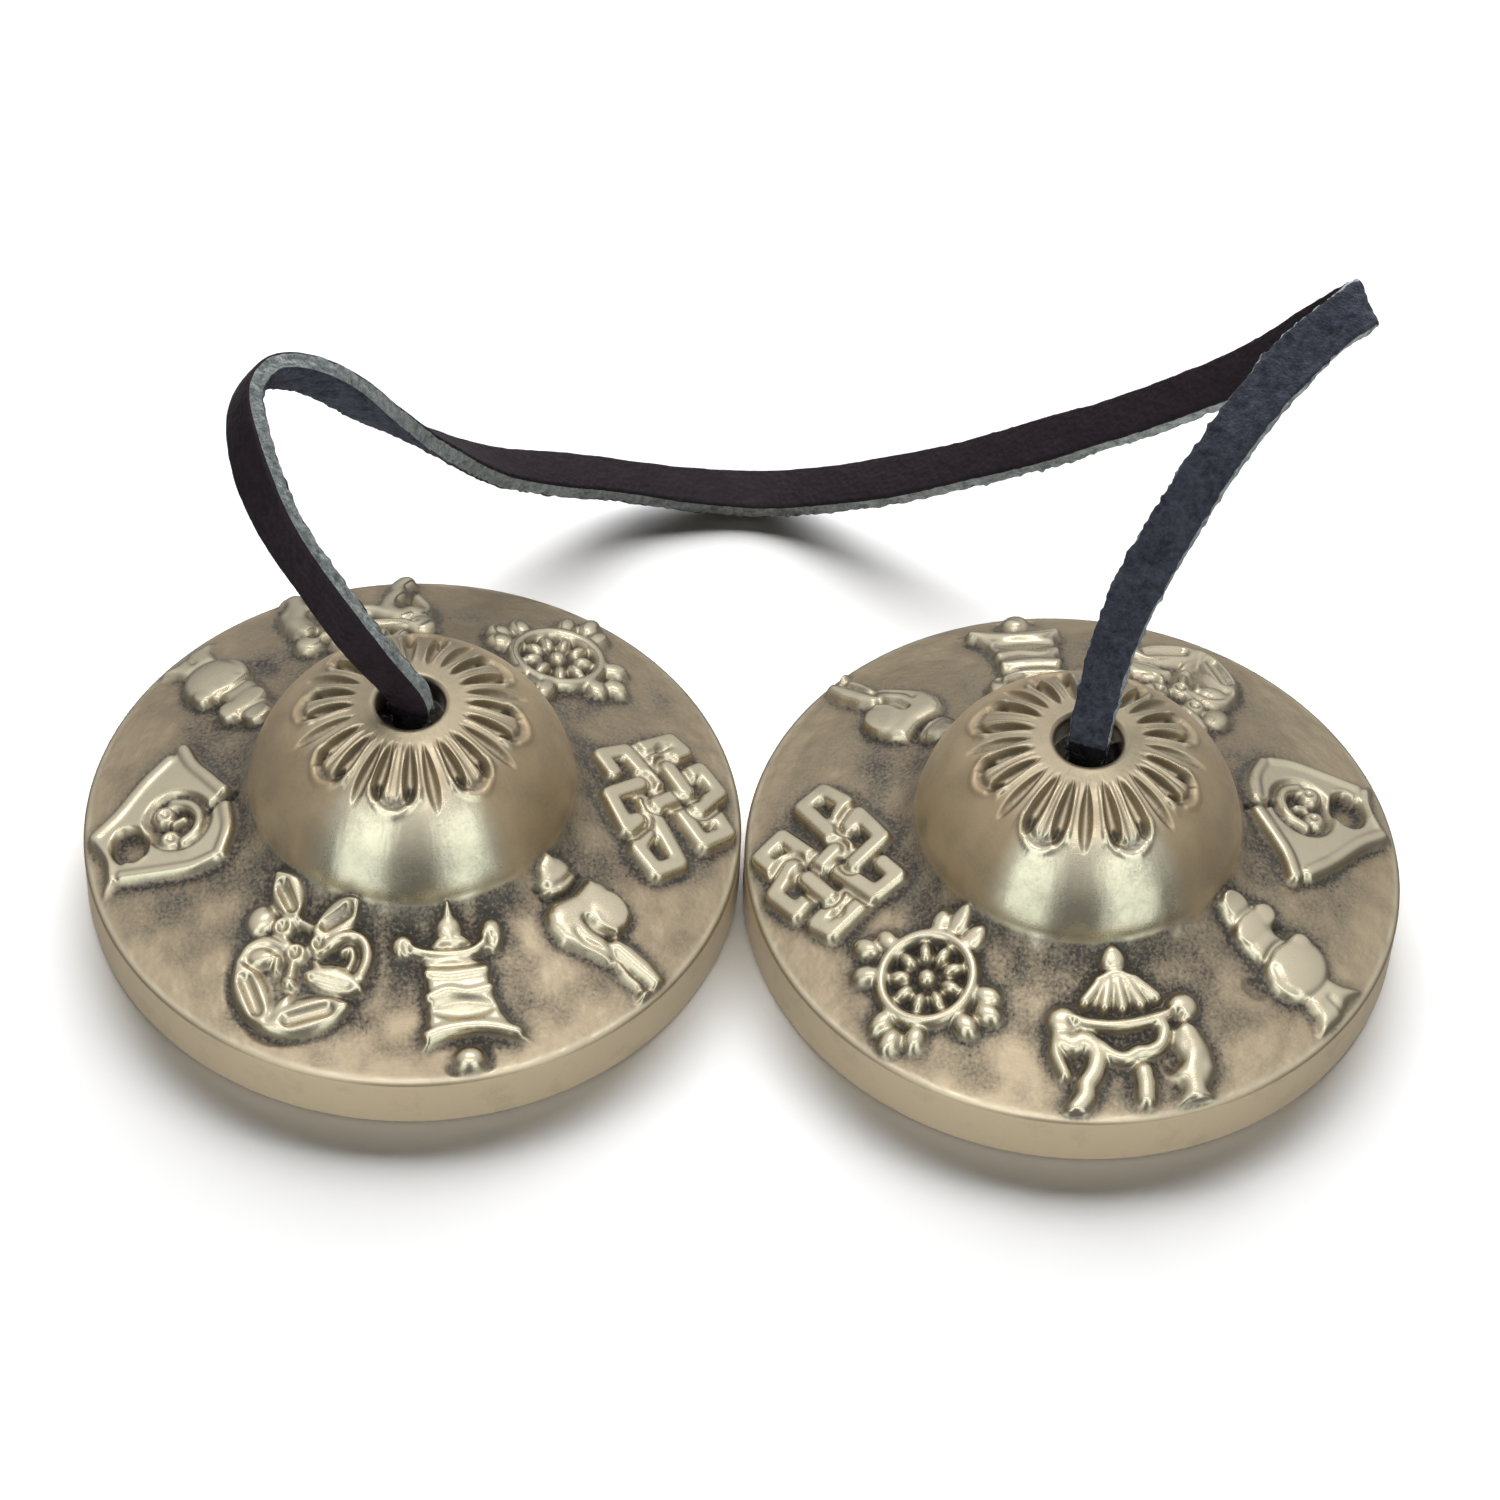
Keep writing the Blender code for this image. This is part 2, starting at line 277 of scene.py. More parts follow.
class Sign:
    """Relief of one sign in its own frame, in millimetres: u runs along the rim, v to the boss."""

    def __init__(self, u, v):
        self.u, self.v = u, v
        self.height = np.zeros_like(u)

    def to_line(self, points):
        """Distance to a polyline."""
        nearest = np.full(self.u.shape, np.inf)
        for (au, av), (bu, bv) in zip(points, points[1:]):
            du, dv = bu - au, bv - av
            t = ((self.u - au) * du + (self.v - av) * dv) / max(du * du + dv * dv, 1e-9)
            t = np.clip(t, 0, 1)
            nearest = np.minimum(nearest, np.hypot(self.u - au - t * du, self.v - av - t * dv))
        return nearest

    def inside(self, outline):
        """Distance to a closed outline, positive within it."""
        closed = [*outline, outline[0]]
        odd = np.zeros(self.u.shape, bool)
        for (au, av), (bu, bv) in zip(closed, closed[1:]):
            if av != bv:
                crosses = (av > self.v) != (bv > self.v)
                odd ^= crosses & (self.u < (bu - au) * (self.v - av) / (bv - av) + au)
        return np.where(odd, 1, -1) * self.to_line(closed)

    def oval(self, centre, radii, lean=0):
        """Elliptical radius: 0 at the centre, 1 on the oval's edge."""
        du, dv = self.u - centre[0], self.v - centre[1]
        c, s = cos(radians(lean)), sin(radians(lean))
        return np.hypot((du * c + dv * s) / radii[0], (dv * c - du * s) / radii[1])

    def lift(self, inner, height, base):
        """Raises what is inside, from base at the border to height where inner reaches 1."""
        lifted = base + (height - base) * crown(inner)
        self.height = np.where(inner > 0, np.maximum(self.height, lifted), self.height)

    def sink(self, inner, depth):
        """Lowers what is inside, by depth where inner reaches 1."""
        self.height = np.where(inner > 0, self.height - depth * crown(inner), self.height)

    def ridge(self, points, width, height, base=0.0):
        """A round-topped line."""
        self.lift(1 - self.to_line(smooth_line(points)) / (width / 2), height, base)

    def band(self, points, width, height, bevel=0.75):
        """A flat-topped strip, which cuts its own outline into what it crosses."""
        depth = width / 2 - self.to_line(points)
        trench = 1 - np.abs(depth + 0.1) / 0.4
        self.height = np.where(trench > 0, np.minimum(self.height, height * 0.45), self.height)
        self.lift(depth / bevel, height, 0.0)

    def plate(self, outline, height, bevel=0.5, base=0.0):
        """A flat area with a rounded edge."""
        self.lift(self.inside(outline) / bevel, height, base)

    def blob(self, centre, radii, height, lean=0, base=0.0):
        """A cushion-shaped lump."""
        self.lift(1 - self.oval(centre, radii, lean), height, base)

    def ring(self, centre, radius, width, height):
        """A round-topped circle."""
        around = np.abs(np.hypot(self.u - centre[0], self.v - centre[1]) - radius)
        self.lift(1 - around / (width / 2), height, 0.0)

    def groove(self, points, width, depth):
        """A round-bottomed line."""
        self.sink(1 - self.to_line(smooth_line(points)) / (width / 2), depth)

    def pit(self, centre, radii, depth, lean=0):
        """An oval hollow."""
        self.sink((1 - self.oval(centre, radii, lean)) * 1.6, depth)

    def leaf(self, start, end, width, height, lean_out=0.0):
        """A petal with pointed ends, bowed sideways by lean_out."""
        start, end = np.array(start), np.array(end)
        along = end - start
        length = float(np.hypot(*along))
        along = along / length
        s = ((self.u - start[0]) * along[0] + (self.v - start[1]) * along[1]) / length
        off = (self.v - start[1]) * along[0] - (self.u - start[0]) * along[1]
        off = off - lean_out * np.sin(pi * np.clip(s, 0, 1))
        half = width / 2 * np.sin(pi * np.clip(s, 0, 1)) ** 0.7 + 1e-6
        self.lift(np.where((s > 0) & (s < 1), 1 - np.abs(off) / half, -1), height, 0.0)


def victory_bell(m):
    """A hanging bell under a roof with curled ends."""
    m.blob((1.0, 6.2), (1.5, 1.3), 1.35)
    m.leaf((1.0, 5.0), (1.1, 8.3), 1.6, 1.3)
    m.plate([(-1.2, 4.5), (-0.5, 5.6), (0.4, 6.1), (1.6, 6.1), (2.5, 5.6), (3.3, 4.5), (1.0, 3.9)],
             1.1, 1.0)
    m.plate([(-2.2, 3.2), (-2.2, 0.6), (-2.4, -2.2), (-2.9, -4.2), (-3.6, -6.1), (-1.8, -5.5),
             (0.4, -5.1), (2.4, -5.0), (4.6, -5.4), (8.0, -6.3), (6.6, -4.9), (5.3, -3.0),
             (4.6, -0.6), (4.5, 2.4), (1.0, 3.6)], 1.15, 0.8)
    m.ridge([(-4.0, 5.4), (-3.2, 4.6), (-1.8, 3.9), (0.4, 3.5), (2.6, 3.5), (4.0, 4.1),
             (5.0, 5.2)], 1.3, 1.45)
    m.blob((-3.9, 5.0), (1.3, 1.4), 1.45)
    m.blob((5.2, 5.2), (1.3, 2.0), 1.45, -12)
    m.pit((5.1, 4.6), (0.55, 0.8), 0.5)
    m.pit((-3.6, 4.6), (0.5, 0.6), 0.4)
    m.ridge([(-1.9, 1.7), (0.8, 1.3), (4.1, 1.5)], 1.0, 1.5, 1.05)
    m.groove([(-2.0, 2.6), (0.6, 2.3), (4.2, 2.2)], 0.6, 0.3)
    m.ridge([(-2.1, -0.7), (0.0, -0.2), (2.0, -0.7), (4.3, -0.4)], 1.0, 1.5, 1.05)
    m.pit((1.2, -2.3), (3.4, 1.2), 0.45, -3)
    m.ridge([(-2.7, -4.6), (-0.9, -4.2), (1.6, -4.1), (4.0, -4.4), (6.4, -5.2)], 1.3, 1.6, 1.0)
    m.blob((1.2, -7.4), (1.7, 1.4), 1.3)
    m.groove([(1.2 + 2.3 * cos(a), -7.4 + 1.9 * sin(a)) for a in np.linspace(-2.9, 0.5, 9)], 0.7,
              0.35)


def conch(m):
    """A shell with a ringed head, a wide smooth whorl, a fluted side and a trailing tail."""
    m.plate([(-1.6, 5.8), (-1.0, 7.0), (0.2, 8.0), (1.8, 8.3), (3.0, 7.4), (3.5, 6.0), (2.8, 4.8),
             (0.6, 4.4), (-1.1, 4.9)], 1.35, 1.7)
    m.groove([(-1.5, 6.6), (-0.5, 5.8), (0.9, 5.4), (2.4, 5.5), (3.4, 6.2)], 0.6, 0.4)
    m.groove([(-1.6, 5.6), (-0.2, 4.7), (1.4, 4.3), (3.2, 4.9)], 0.6, 0.45)
    m.plate([(-2.9, 4.2), (-1.6, 4.7), (1.0, 4.0), (3.7, 4.3), (4.6, 2.9), (4.8, 1.0), (4.1, -1.0),
             (2.8, -2.2), (1.4, -2.4), (0.2, -2.2), (-1.0, -4.2), (-2.0, -4.0), (-3.0, -1.6),
             (-4.2, 0.8), (-3.9, 3.0)], 1.35, 1.9)
    m.blob((2.5, 0.2), (2.1, 2.3), 1.65, 0, 1.1)
    m.groove([(-2.0, 0.8), (-2.1, -0.6), (-1.5, -2.2), (-1.2, -3.6)], 0.6, 0.35)
    m.groove([(-0.2, 1.0), (-0.3, -0.4), (0.4, -2.0)], 1.1, 0.8)
    m.ridge([(1.0, 0.8), (0.7, -0.4), (1.3, -1.8)], 0.8, 1.6, 0.9)
    m.plate([(-0.8, -2.0), (1.0, -2.2), (1.6, -4.0), (1.8, -6.4), (1.4, -9.0), (-0.4, -9.1),
             (-0.7, -5.6)], 1.25, 1.2)
    m.ridge([(-1.2, -4.4), (-1.4, -6.0), (-1.3, -7.4)], 0.9, 0.9)
    m.blob((-1.6, -8.7), (0.9, 0.9), 1.2)


def slit_leaf(m, start, end, width, height):
    """A pointed petal with a slit sunk along its middle."""
    m.leaf(start, end, width, height)
    a, b = np.array(start), np.array(end)
    m.groove([tuple(a + (b - a) * 0.30), tuple(a + (b - a) * 0.74)], width * 0.36, height * 0.6)


def lotus(m):
    """A flower: paired slit leaves below, whorls in the middle, petals above."""
    m.plate([(-4.2, 1.0), (-4.6, -1.8), (-3.4, -4.4), (0.6, -6.4), (4.6, -4.6), (6.4, -1.6),
             (5.6, 1.6), (0.4, 3.0)], 0.3, 0.8)
    slit_leaf(m, (-6.4, 8.4), (-1.8, 4.7), 3.6, 1.35)
    slit_leaf(m, (0.3, 3.9), (3.4, 8.4), 3.8, 1.35)
    m.blob((-5.6, 3.4), (1.6, 1.9), 1.15)
    m.ridge([(-2.2, 4.8), (-0.2, 4.6), (1.0, 4.6)], 1.2, 0.9)
    for centre, radius in (((-2.9, 3.5), 1.35), ((1.5, 3.3), 1.35), ((-0.3, 1.5), 1.35)):
        m.blob(centre, (radius, radius), 1.4)
        m.pit(centre, (0.6, 0.6), 0.8)
    m.ridge([(-2.4, 2.6), (-1.2, 2.0)], 0.9, 1.1)
    m.ridge([(-0.1, 0.6), (0.3, -0.6)], 1.3, 1.2)
    m.blob((0.5, -1.5), (1.0, 0.8), 1.35)
    m.ridge([(-1.6, 1.6), (-3.6, 1.6), (-5.0, 0.4), (-5.2, -1.2)], 1.5, 1.15)
    m.blob((-3.4, -0.2), (1.8, 1.2), 1.45, 25)
    m.ridge([(-1.8, 0.4), (-1.4, -0.8)], 0.9, 1.1)
    m.ridge([(2.4, 3.6), (3.0, 4.8), (4.4, 5.6), (5.8, 5.2), (6.7, 3.8), (6.9, 2.0)], 1.5, 1.3)
    m.ridge([(4.0, 3.6), (4.6, 4.2), (5.3, 3.4), (5.4, 2.4)], 1.0, 1.0)
    m.leaf((1.4, -0.2), (8.0, 0.9), 3.4, 1.4, 0.4)
    m.ridge([(2.0, 1.4), (3.2, 1.0), (4.4, 1.6)], 0.9, 1.3)
    m.groove([(2.6, -0.2), (4.6, 0.0), (6.4, 0.5)], 0.5, 0.45)
    slit_leaf(m, (-5.6, -1.4), (0.7, -6.8), 4.0, 1.4)
    slit_leaf(m, (0.4, -6.8), (7.4, -0.9), 4.4, 1.4)
    m.leaf((1.3, -2.4), (0.7, -6.2), 1.8, 1.0)
    m.groove([(-6.2, -2.4), (-4.4, -5.2), (0.6, -7.6), (5.4, -5.2), (7.6, -2.0)], 0.9, 0.3)


def fish_pair(m):
    """Two fish head to tail in one leaf-shaped outline, round a swirl and a deep hole."""
    m.plate([(-0.2, 6.5), (2.6, 6.3), (6.9, 4.0), (7.0, 1.6), (6.4, -0.8), (5.0, -3.8),
             (3.7, -6.8), (4.4, -9.2), (2.6, -8.2), (0.4, -7.6), (-1.8, -8.1), (-4.2, -9.4),
             (-3.7, -7.2), (-6.0, -4.0), (-8.6, -0.4), (-10.0, 2.2), (-9.7, 4.7), (-7.2, 4.9),
             (-4.4, 5.9), (-1.4, 6.9)], 1.0, 1.5)
    m.ridge([(-9.5, 4.3), (-6.8, 4.5), (-4.2, 5.3), (-1.4, 6.2)], 1.9, 1.6)
    m.ridge([(0.8, 5.8), (3.6, 5.2), (6.0, 3.6)], 1.8, 1.35)
    m.ridge([(6.2, 2.8), (6.0, 0.4), (4.6, -3.2), (3.2, -6.4)], 1.7, 1.35)
    m.ridge([(-8.9, 2.6), (-7.2, -0.6), (-4.6, -4.4), (-3.2, -7.4)], 2.0, 1.4)
    m.ridge([(-2.8, -7.4), (0.4, -6.9), (3.0, -7.4)], 1.2, 1.2)
    m.groove([(-0.6, 7.0), (-0.3, 5.2), (0.2, 4.2)], 0.9, 0.7)
    m.pit((-0.3, 0.9), (4.0, 3.6), 1.25, 8)
    m.ridge([(-2.9, 1.2), (-1.6, 2.7), (0.4, 3.1), (2.0, 2.2), (2.6, 0.6)], 1.5, 1.15)
    for centre in ((-1.9, -0.2), (1.5, -0.6)):
        m.blob(centre, (1.35, 1.3), 1.25)
        m.pit((centre[0] + 0.2, centre[1] + 0.2), (0.5, 0.5), 0.5)
    m.ridge([(-0.2, 1.6), (-0.2, 0.4)], 1.0, 0.95)
    m.pit((0.0, -4.5), (2.5, 2.0), 1.7, -4)
    m.ridge([(1.9, -5.6), (2.5, -4.6), (2.3, -3.5)], 0.6, 1.3)


def vase(m):
    """A round-bellied treasure vase with a knobbed, lobed lid, on a cloth foot."""
    m.plate([(-2.4, 1.4), (-2.1, 3.2), (-1.3, 4.6), (-1.0, 6.4), (-0.2, 7.8), (1.4, 8.0),
             (2.5, 7.0), (2.7, 5.7), (3.6, 4.6), (4.2, 3.3), (3.4, 2.4), (2.4, 2.2), (2.2, 0.4),
             (-1.8, 0.2)], 1.2, 1.7)
    m.blob((1.2, 6.5), (1.5, 1.4), 1.5, -20, 0.9)
    m.blob((0.4, 4.0), (2.3, 1.7), 1.5, 10, 0.9)
    m.blob((2.7, 3.8), (1.4, 1.4), 1.4, -30, 0.9)
    m.groove([(-1.6, 4.9), (0.4, 5.4), (2.4, 5.1)], 0.5, 0.25)
    m.pit((2.8, 1.5), (1.0, 0.7), 0.5)
    m.blob((0.4, -2.2), (3.9, 3.3), 1.75, 0, 0.4)
    m.blob((3.0, -0.8), (1.3, 1.3), 1.4, 30, 0.8)
    m.groove([(-1.9, 0.6), (0.2, 0.9), (2.0, 0.5)], 0.6, 0.25)
    m.groove([(-1.6, -0.6), (-2.4, -2.2), (-2.0, -3.8)], 0.8, 0.2)
    m.pit((-4.4, -0.4), (1.2, 1.5), 0.3)
    m.plate([(-1.9, -4.8), (2.2, -4.9), (2.8, -6.6), (4.1, -8.6), (1.6, -8.1), (-0.5, -8.8),
             (-3.9, -8.5), (-2.5, -6.8)], 1.0, 1.1)
    m.groove([(0.3, -6.4), (0.1, -8.5)], 0.6, 0.3)


def parasol(m):
    """A fluted canopy on a bar with knobbed ends, hung with thick ribbons."""
    m.blob((1.3, 6.8), (1.5, 1.3), 1.45)
    m.plate([(1.4, 6.2), (-0.2, 5.5), (-1.8, 4.4), (-2.9, 3.0), (-2.4, 2.3), (5.2, 2.4),
             (6.6, 3.3), (5.2, 4.7), (3.0, 5.7)], 0.8, 1.0)
    for flute in (((-0.2, 4.9), (-2.0, 2.9)), ((0.6, 4.7), (0.0, 2.4)), ((1.5, 4.8), (1.8, 2.2)),
                  ((2.5, 4.7), (3.7, 2.5)), ((3.2, 5.0), (5.3, 3.2))):
        m.ridge(flute, 1.6, 1.5)
    m.ridge([(-0.4, 5.0), (1.4, 5.6), (3.3, 5.0)], 1.3, 1.6)
    m.ridge([(-3.8, 1.3), (-1.8, 0.6), (1.0, 0.3), (4.0, 0.7), (6.4, 1.4), (7.9, 2.1)], 1.5, 1.5)
    m.blob((-4.4, 1.1), (1.8, 1.7), 1.5)
    m.blob((8.1, 2.2), (1.8, 1.7), 1.5)
    m.pit((7.3, 1.4), (0.6, 0.5), 0.7)
    m.pit((-3.5, 0.8), (0.5, 0.4), 0.5)
    m.ridge([(-5.1, -0.3), (-5.4, -2.2), (-4.7, -4.4)], 1.7, 1.2)
    m.ridge([(-4.5, -0.9), (-3.6, -1.5), (-2.6, -1.0), (-1.7, -1.6), (-1.2, -2.8), (-1.7, -4.4),
             (-2.6, -5.6), (-2.8, -6.8), (-3.9, -8.0)], 2.4, 1.5)
    m.ridge([(-2.3, -1.0), (-0.9, -1.8), (0.4, -2.8), (1.7, -3.1), (3.0, -2.5), (4.2, -2.4),
             (5.4, -1.7), (5.9, -0.3), (5.4, 0.8)], 1.8, 1.4)
    m.ridge([(3.4, -4.5), (3.5, -5.8), (3.4, -7.2)], 2.3, 1.5)
    m.plate([(6.6, -0.2), (7.8, 0.6), (9.6, 0.3), (10.6, -1.8), (11.0, -4.2), (10.0, -6.2),
             (11.2, -7.7), (6.6, -8.0), (7.2, -6.2), (5.9, -5.0), (7.4, -3.4), (6.6, -1.8)], 1.3,
             1.6)
    m.ridge([(8.2, -0.4), (8.9, -2.4), (8.5, -4.4), (8.6, -6.6)], 2.0, 1.6, 0.9)
    m.groove([(5.8, -3.8), (6.4, -4.8), (7.0, -5.6)], 0.6, 0.3)


def wheel(m):
    """A wheel with nine petal-shaped spokes and, outside its rim, four groups of three leaves."""
    m.pit((0, 0), (4.6, 4.6), 0.35)
    m.ring((0, 0), 4.7, 1.6, 1.4)
    m.blob((0, 0), (1.15, 1.1), 1.4)
    for k in range(9):
        spoke = 12 + 40 * k
        a = radians(spoke)
        m.blob((2.75 * cos(a), 2.75 * sin(a)), (1.35, 0.85), 1.3, spoke)
    for leaf in ((6.3, 2.0), (7.5, 0.6), (6.4, -1.7), (-0.8, -6.3), (1.2, -7.5), (3.1, -5.8),
                 (-5.9, 1.0), (-7.3, -0.8), (-5.4, -3.2), (-2.5, 5.4), (-1.0, 6.3), (1.3, 5.8)):
        m.blob(leaf, (1.7, 1.25), 1.4, degrees(atan2(leaf[1], leaf[0])))


def endless_knot(m):
    """A strip woven through itself on a slanted lattice, with looped corners."""
    for strip in (
        [(6.0, 1.6), (8.8, -1.9), (10.2, -0.4), (7.6, 3.0)],
        [(-4.1, 1.9), (-6.0, 2.7), (-8.4, 0.7), (-6.7, -1.7), (0.4, 2.1)],
        [(3.4, 5.6), (5.4, 6.9), (6.9, 4.4), (2.9, 1.1)],
        [(0.2, -1.6), (-3.4, -4.2), (-1.3, -6.8), (1.0, -5.3), (0.0, -4.2)],
        [(-2.5, 2.9), (-3.8, 3.9), (0.1, 5.9), (2.5, 2.8)],
        [(1.0, -3.6), (4.0, -5.8), (6.8, -3.7), (5.8, -2.7)],
        [(0.3, 0.8), (1.7, -0.8)],
        [(3.0, -2.2), (5.8, -0.3)],
    ):
        m.band(strip, 2.3, 1.35)
    m.pit((8.2, 0.6), (0.9, 0.7), 0.35)


# Each sign, with its distance from the cymbal's axis and, on the left and the right cymbal, its
# bearing counterclockwise from +X and its own twist, in degrees: the signs were stamped one by one
SIGNS = (
    (victory_bell, 25.5, (283, 0), (99, 0)),
    (conch, 25.5, (322, 0), (139, 4)),
    (lotus, 25.5, (246, 0), (62.5, 0)),
    (fish_pair, 25.5, (192.6, 11), (13.3, 0)),
    (vase, 25.5, (145, -12), (325, 0)),
    (parasol, 25.5, (103, 0), (277, 0)),
    (wheel, 25.2, (56.8, 0), (232.5, 0)),
    (endless_knot, 26.5, (2, 0), (188, 0)),
)
SIGN_REACH = 13.5


# ---------------------------------------------------------------- cymbals

def flange_top(radius):
    """Height of the flange's plain top face."""
    return RIM_HEIGHT + (OUTER_RADIUS - radius) * tan(FLANGE_SLOPE)


def half_section():
    """Closed half section as (radius, height) points: up the bore, out over boss and flange,
    round the rim and back through the hollow. Points are closest where there is relief."""
    lip = arc((HOLE_RADIUS + HOLE_LIP, BOSS_HEIGHT - HOLE_LIP), (HOLE_LIP, HOLE_LIP), pi, pi / 2)
    dome = arc(DOME_CENTRE, DOME_SEMI_AXES, radians(82), radians(10), 96)
    foot = (FILLET_FOOT_RADIUS, flange_top(FILLET_FOOT_RADIUS))
    fillet = bend(dome[-1], FILLET_CORNER, foot, 24)
    edge = (OUTER_RADIUS - EDGE_ROUND, flange_top(OUTER_RADIUS - EDGE_ROUND))
    rim_top = bend(edge, (OUTER_RADIUS, RIM_HEIGHT), (OUTER_RADIUS, RIM_HEIGHT - EDGE_ROUND))
    rim_bottom = arc((OUTER_RADIUS - EDGE_ROUND, EDGE_ROUND), (EDGE_ROUND, EDGE_ROUND), 0, -pi / 2)
    hollow = arc(HOLLOW_CENTRE, HOLLOW_SEMI_AXES, radians(-6), radians(80), 48)
    bore_foot = (HOLE_RADIUS, hollow[-1][1] + HOLE_LIP)
    petals = dome[dome[:, 0] < PETALS_TO]
    skirt = dome[dome[:, 0] >= PETALS_TO]
    pieces = [
        evenly([bore_foot, lip[0]], 0.5),
        evenly(lip, 0.2),
        evenly(np.vstack([lip[-1:], petals]), 0.2),
        evenly(np.vstack([petals[-1:], skirt]), 0.35),
        evenly(fillet, 0.2),
        evenly([foot, edge], RELIEF_STEP),
        evenly(rim_top, 0.15),
        evenly([rim_top[-1], rim_bottom[0]], 0.45),
        evenly(rim_bottom, 0.2),
        evenly([rim_bottom[-1], (REST_FACE_INNER_RADIUS, 0.0)], 0.9),
        evenly([(REST_FACE_INNER_RADIUS, 0.0), HOLLOW_MOUTH], 1.2),
        evenly(np.vstack([[HOLLOW_MOUTH], hollow]), 0.9),
        evenly([hollow[-1], bore_foot], 0.4)[:-1],
    ]
    return np.vstack([pieces[0]] + [piece[1:] for piece in pieces[1:]])


def petal_relief(radius, bearing, first_petal, rng):
    """Eight petals round the boss: each a tongue between two deep cuts joined at its tip, with a
    raised rim beside them, and a single deep cut between neighbours."""
    relief = np.zeros_like(radius)
    for k in range(8):
        middle = first_petal + 45 * k + rng.uniform(-2, 2)
        reach = 12.0 + rng.uniform(-0.5, 0.4)
        half_turn = radians(rng.uniform(7.5, 9.5))
        turn = turn_from(bearing, middle)
        swell = lens(radius, PETAL_START, reach - PETAL_START)
        from_cut = np.abs(turn) - half_turn
        arms = 1 - np.abs(from_cut) / (ARM_HALF_TURN * swell + 1e-6)
        from_rim = np.minimum(np.abs(from_cut - RIM_TURN), np.abs(from_cut + RIM_TURN))
        rim = (1 - from_rim / RIM_HALF_TURN) * (swell > 0.3)
        half_width = half_turn * reach
        past_tip = radius > reach - TIP_DEPTH
        from_tip = np.hypot(turn * radius, (radius - reach + TIP_DEPTH) * 1.1) - half_width
        tip = (1 - np.abs(from_tip) / 0.45) * past_tip
        tip_rim = (1 - np.abs(from_tip - 0.7) / 0.5) * past_tip
        relief += 0.2 * crown(rim) * swell + 0.2 * crown(tip_rim)
        relief -= 1.0 * crown(arms) * swell + 0.45 * crown(tip)

        swell = lens(radius, SINGLE_CUT_START, SINGLE_CUT_LENGTH)
        off = np.abs(turn_from(bearing, middle + 22.5))
        relief -= 0.9 * swell * crown(1 - off / (SINGLE_CUT_HALF_TURN * swell + 1e-6))
    return relief


def sign_relief(radius, bearing, side, flange):
    """The eight signs of one cymbal, worn level where they stand highest."""
    x, y = radius * np.cos(bearing), radius * np.sin(bearing)
    relief = np.zeros_like(radius)
    for sign, distance, left_place, right_place in SIGNS:
        azimuth, twist = left_place if side == "left" else right_place
        a = radians(azimuth)
        across = x * -sin(a) + y * cos(a)
        inward = distance - (x * cos(a) + y * sin(a))
        near = flange & (np.hypot(across, inward) < SIGN_REACH)
        c, s = cos(radians(twist)), sin(radians(twist))
        marks = Sign(across[near] * c + inward[near] * s, inward[near] * c - across[near] * s)
        sign(marks)
        part = np.zeros_like(radius)
        part[near] = marks.height
        relief = np.where(np.abs(part) > np.abs(relief), part, relief)
    return np.where(relief > WORN_FROM, (WORN_FROM + relief) / 2, relief)


def smooth_noise(rng, shape, passes):
    """Random field of unit spread, smoother with more passes."""
    field = blurred(rng.standard_normal(shape), passes)
    return field / field.std()


def on_flange(radius, top):
    """Where the cast field between boss and rim is."""
    return top & (radius > FIELD_FROM) & (radius < OUTER_RADIUS - 0.6)


def wear_and_painted_light_of(section, bearing, radius, relief, spread, blotch, top):
    """How dark with patina and painted shade, how polished and paler with painted highlights, and
    how dull the bronze is, each from 0 to 1. Spread is how much raised metal is near, and blotch a
    slow noise."""
    raised = np.clip(relief / 0.8, 0, 1)
    cavity = np.clip((blurred(relief, 24) - relief) / 0.35, 0, 1)
    # Painted shade, partly patina: the low field is darkened where much raised metal is near
    shade = np.clip(spread * 1.3, 0, 1) * (relief < 0.35) * (radius > 17)
    grime_and_foot_shade = 0.62 - 0.44 * rise(radius, 21, 9.5) + 0.15 * blotch
    # Dark ring round the boss foot: partly patina, partly painted shade in the crease
    grime_and_foot_shade = grime_and_foot_shade + 0.12 * np.exp(-((radius - BOSS_FOOT_PATINA_AND_SHADE) / 1.1) ** 2)
    grime_and_foot_shade = np.where(on_flange(radius, top), grime_and_foot_shade, 0.12) * fall(radius, OUTER_RADIUS - 0.4, 3)
    patina_and_shade = np.clip(grime_and_foot_shade + 0.55 * shade + 0.75 * cavity - 0.9 * raised, 0, 1)
    underside = np.where(radius < OUTER_RADIUS - 1.5, 0.75, 0.0)
    patina_and_shade = np.where(top, patina_and_shade, underside)

    on_boss = fall(radius + 0.35 * blotch, BOSS_FOOT, 0.8)
    smooth_boss = rise(radius, PETALS_FADE_FROM, 2.6) * on_boss
    # Painted highlight, partly polish: the front of the smooth boss turns paler and smoother
    front_highlight = smooth_boss * fall(np.abs(turn_from(bearing, FRONT_HIGHLIGHT_BEARING)), FRONT_HIGHLIGHT_REACH, 0.26)
    # Painted highlight, partly polish: a paler line along the flange's outer edge
    lit_edge = np.exp(-((radius - OUTER_RADIUS + 0.35) / 0.3) ** 2)
    polish_and_highlight = (raised * 0.8 + on_boss * (0.6 - 0.5 * smooth_boss) + front_highlight * 0.85
              + lit_edge * 0.9)
    polish_and_highlight = np.clip(polish_and_highlight, 0, 1) * top

    # The boss away from its front turns a matt brown: partly oxide, partly a painted reflection of
    # brown surroundings
    dull_boss = smooth_boss - front_highlight + 0.5 * (on_boss - smooth_boss)
    beyond = section[:, :1] > OUTER_RADIUS - EDGE_ROUND / 2
    rim_side = beyond & (section[:, 1:] < RIM_HEIGHT - 0.3)
    dull = np.maximum(np.where(rim_side, 1.0, 0.0), 0.6 * dull_boss * top)
    return {"patina_and_shade": blurred(patina_and_shade, 1), "polish_and_highlight": blurred(polish_and_highlight, 2), "dull": dull}


